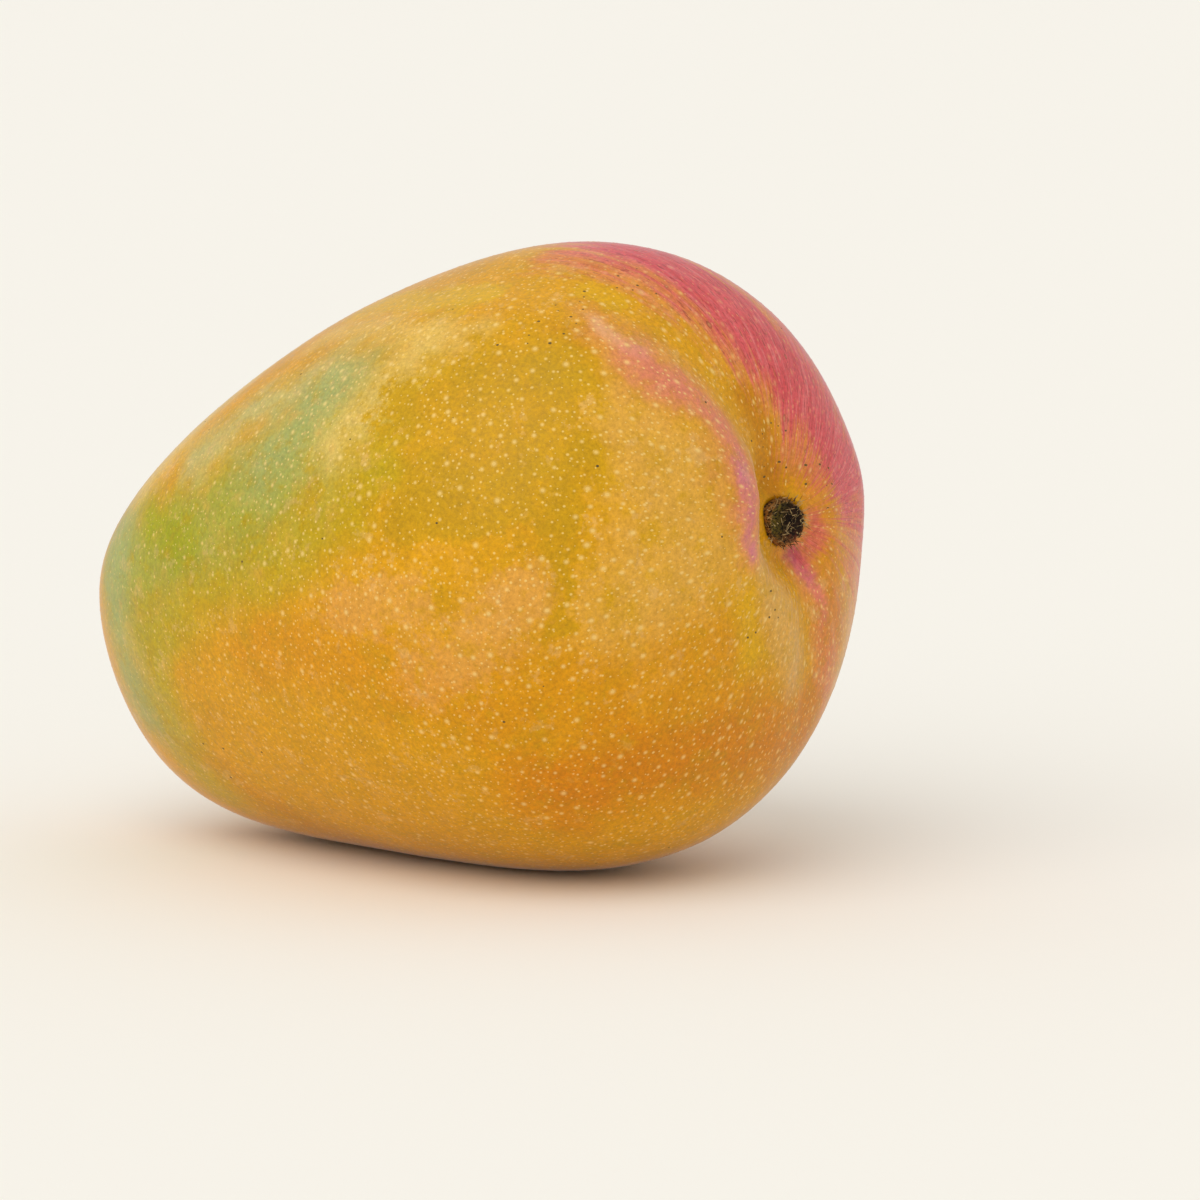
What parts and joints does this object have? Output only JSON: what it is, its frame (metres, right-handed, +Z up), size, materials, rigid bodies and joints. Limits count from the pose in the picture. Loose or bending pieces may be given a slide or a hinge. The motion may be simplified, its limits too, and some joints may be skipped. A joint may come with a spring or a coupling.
{
  "type": "mango",
  "caption": "Ripe whole mango lying on its side, with a grooved stalk end and a short woody stub.",
  "frame": {"origin": "on the resting surface, under the middle of the fruit's bounding box", "axes": "+X along the fruit towards the stalk end, +Z up, one broad cheek faces -Y"},
  "size_m": [0.128, 0.0968, 0.1019],
  "materials": {
    "skin": "waxy",
    "stalk_wood": "rough"
  },
  "bodies": {
    "root": {"fruit": "skin", "stem_stub": "stalk_wood"}
  },
  "joints": []
}
